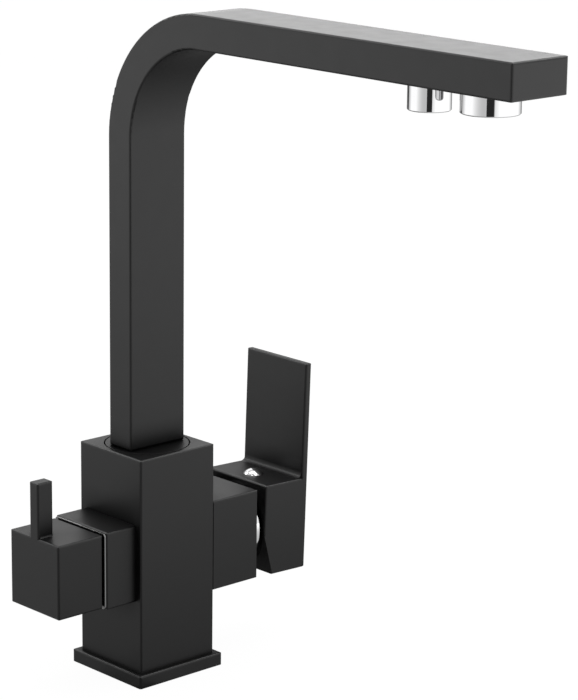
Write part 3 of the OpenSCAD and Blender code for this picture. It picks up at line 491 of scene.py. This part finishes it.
# (name, azimuth, half width, height, glow)
CARDS = (
    ("stripe_card", -36.5, 0.16, 0.29, 0.03),
    ("shade_card", 137, 0.60, 0.37, 0.2),
)


def direction(azimuth):
    """Level direction at an azimuth, 0 towards -Y and 90 towards +X."""
    a = math.radians(azimuth)
    return (math.sin(a), -math.cos(a), 0)


def emission(t, strength):
    return t.add("ShaderNodeEmission", None, Color=grey(1.0), Strength=strength)


def add_floor():
    """Nearly white to the camera, with the tap's soft shadow. Reflections see a varied glow."""
    bpy.ops.mesh.primitive_plane_add(size=FLOOR_SIZE, location=(0, 0, -FLOOR_DROP))
    floor = bpy.context.object
    floor.name = "floor"
    m = bpy.data.materials.new("floor")
    t = Tree(m)
    place = t.coords()

    def away(point):
        return t.vector("LENGTH", t.vector("SUBTRACT", place, point).outputs[0]).outputs["Value"]

    mirrored = t.ramp(away(FLOOR_CENTRE), FLOOR_NEAR[0], FLOOR_FAR[0], FLOOR_NEAR[1], FLOOR_FAR[1])
    point, inner, outer, level = PATCH
    mirrored = t.math("MULTIPLY", mirrored, t.ramp(away(point), inner, outer, level, 1.0))
    way = t.vector("NORMALIZE", place).outputs[0]
    for azimuth, inner, outer, level in SECTORS:
        along = t.vector("DOT_PRODUCT", way, direction(azimuth)).outputs["Value"]
        wide, narrow = (math.cos(math.radians(half)) for half in (outer, inner))
        mirrored = t.math("MULTIPLY", mirrored, t.ramp(along, wide, narrow, 1.0, level))

    path = t.add("ShaderNodeLightPath")
    seen = path.outputs["Is Camera Ray"]
    unseen = t.math("SUBTRACT", 1.0, seen)
    level = t.math("ADD", t.math("MULTIPLY", seen, FLOOR_WHITE), t.math("MULTIPLY", unseen, mirrored))
    share = t.math("ADD", t.math("MULTIPLY", seen, FLOOR_SEEN),
                   t.math("MULTIPLY", path.outputs["Is Glossy Ray"], FLOOR_GLOSSY))
    diffuse = t.add("ShaderNodeBsdfDiffuse", None, Color=grey(FLOOR_ALBEDO))
    mix = t.add("ShaderNodeMixShader")
    for key, v in (("0", share), ("1", diffuse.outputs[0]), ("2", emission(t, level).outputs[0])):
        t.put(mix, key, v)
    t.surface(mix)
    floor.data.materials.append(m)


def add_world():
    """White to the camera, and dimmer where it lights the tap."""
    world = bpy.data.worlds.new("world")
    scene.world = world
    t = Tree(world)
    path = t.add("ShaderNodeLightPath")
    seen = t.math("MAXIMUM", path.outputs["Is Camera Ray"], path.outputs["Is Transmission Ray"])
    glossy = t.math("MULTIPLY", path.outputs["Is Glossy Ray"], WORLD_GLOSSY)
    strength = t.math("MAXIMUM", seen, t.math("ADD", glossy, WORLD_LIGHT))
    background = t.add("ShaderNodeBackground", None, Color=grey(1.0), Strength=strength)
    t.surface(background, "ShaderNodeOutputWorld")


def add_lamp(name, place, aim_z, size, watts):
    data = bpy.data.lights.new(name, "AREA")
    data.shape = "RECTANGLE"
    data.size, data.size_y = size
    data.energy = watts
    lamp = bpy.data.objects.new(name, data)
    place, aim = Vector(place), Vector((0, 0, aim_z))
    lamp.location = place
    lamp.rotation_euler = (aim - place).to_track_quat("-Z", "Y").to_euler()
    lamp.visible_camera = False
    scene.collection.objects.link(lamp)


def add_card(name, azimuth, half, height, glow):
    """Upright card on the floor that only reflections see."""
    out, side = Vector(direction(azimuth)), Vector(direction(azimuth + 90))
    corners = [out * CARD_DISTANCE + side * u + Vector((0, 0, z))
               for u, z in ((-half, 0), (half, 0), (half, height), (-half, height))]
    mesh = bpy.data.meshes.new(name)
    mesh.from_pydata(corners, [], [(0, 1, 2, 3)])
    obj = bpy.data.objects.new(name, mesh)
    scene.collection.objects.link(obj)
    m = bpy.data.materials.new(name)
    t = Tree(m)
    t.surface(emission(t, glow))
    obj.data.materials.append(m)
    for ray in ("camera", "diffuse", "shadow", "transmission"):
        setattr(obj, "visible_" + ray, False)


add_floor()
add_world()
for lamp in LAMPS:
    add_lamp(*lamp)
for card in CARDS:
    add_card(*card)

scene.view_settings.view_transform = "Standard"
